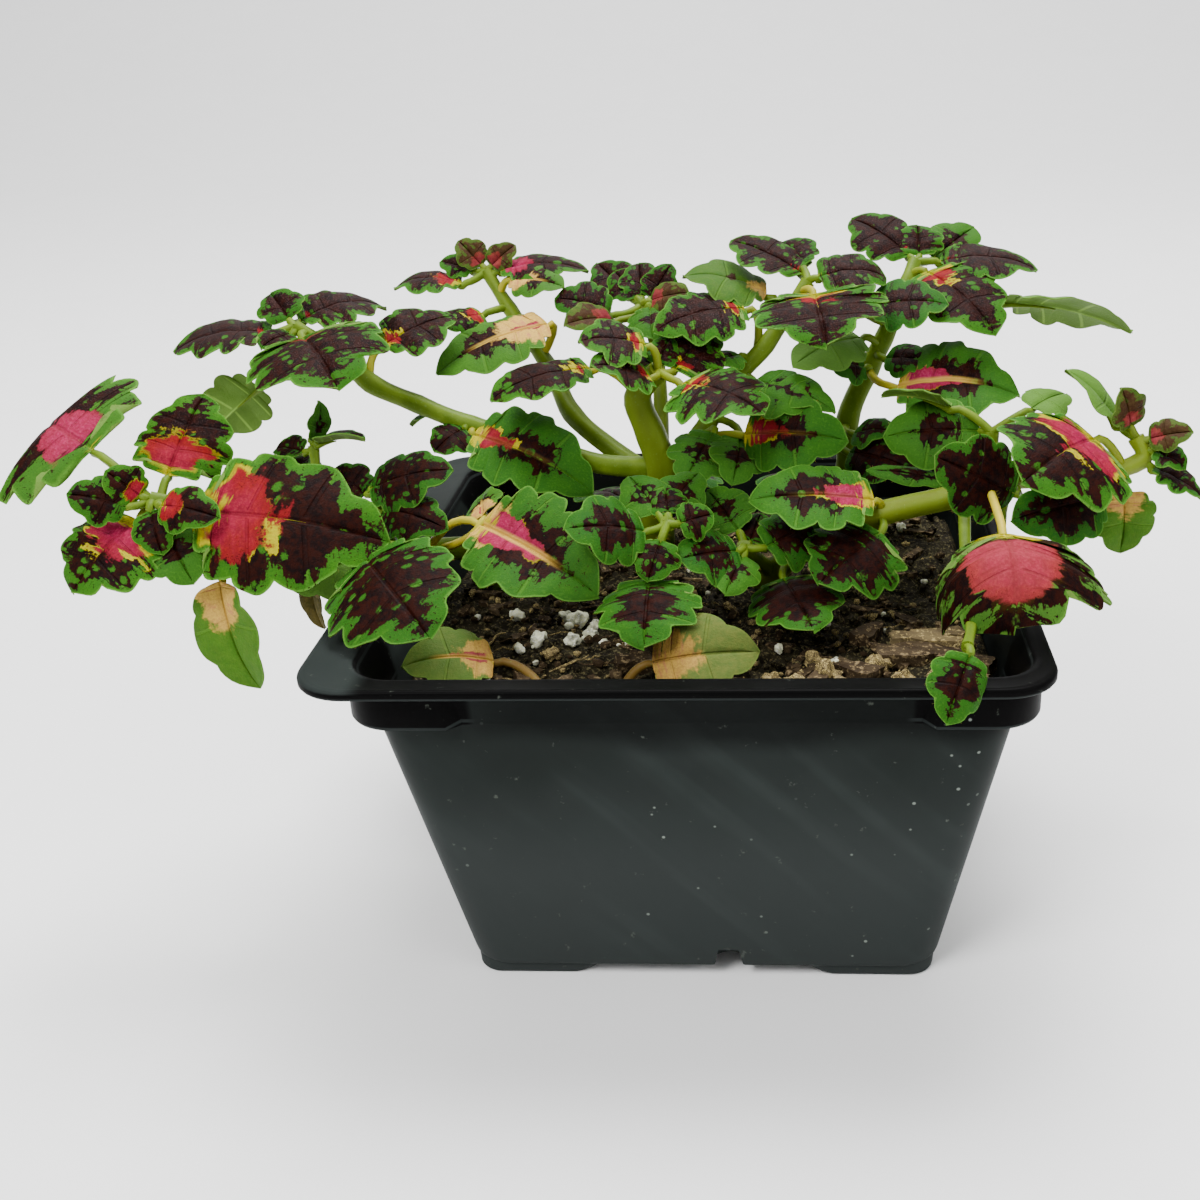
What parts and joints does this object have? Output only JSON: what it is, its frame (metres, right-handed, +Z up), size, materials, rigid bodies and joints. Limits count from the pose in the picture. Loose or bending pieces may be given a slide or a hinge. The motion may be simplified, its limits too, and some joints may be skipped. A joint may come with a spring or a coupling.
{
  "type": "potted coleus",
  "caption": "Low, spreading variegated coleus plants with lobed leaves in a square tapered nursery pot filled with potting mix.",
  "frame": {"origin": "middle of the whole object's footprint, on the surface that it stands on", "axes": "+X to the right across the front of the pot, +Y to the back, +Z up"},
  "size_m": [0.2098, 0.1276, 0.1217],
  "materials": {
    "pot_plastic": "thin moulded black plastic, satin, scuffed",
    "potting_mix": "dark peat with bark chips and white perlite",
    "leaf": "soft matt leaf, green margin and maroon middle",
    "stem": "fleshy yellow-green stem",
    "dry_leaf": "papery withered leaf",
    "perlite": "white porous granules"
  },
  "bodies": {
    "root": {"pot": "pot_plastic", "potting_mix": "potting_mix", "left_plant": "leaf", "central_plant": "leaf", "rear_right_plant": "leaf", "right_plant": "leaf", "front_sprig": "leaf", "fallen_leaf_left": "dry_leaf", "fallen_leaf_centre": "dry_leaf"}
  },
  "joints": []
}
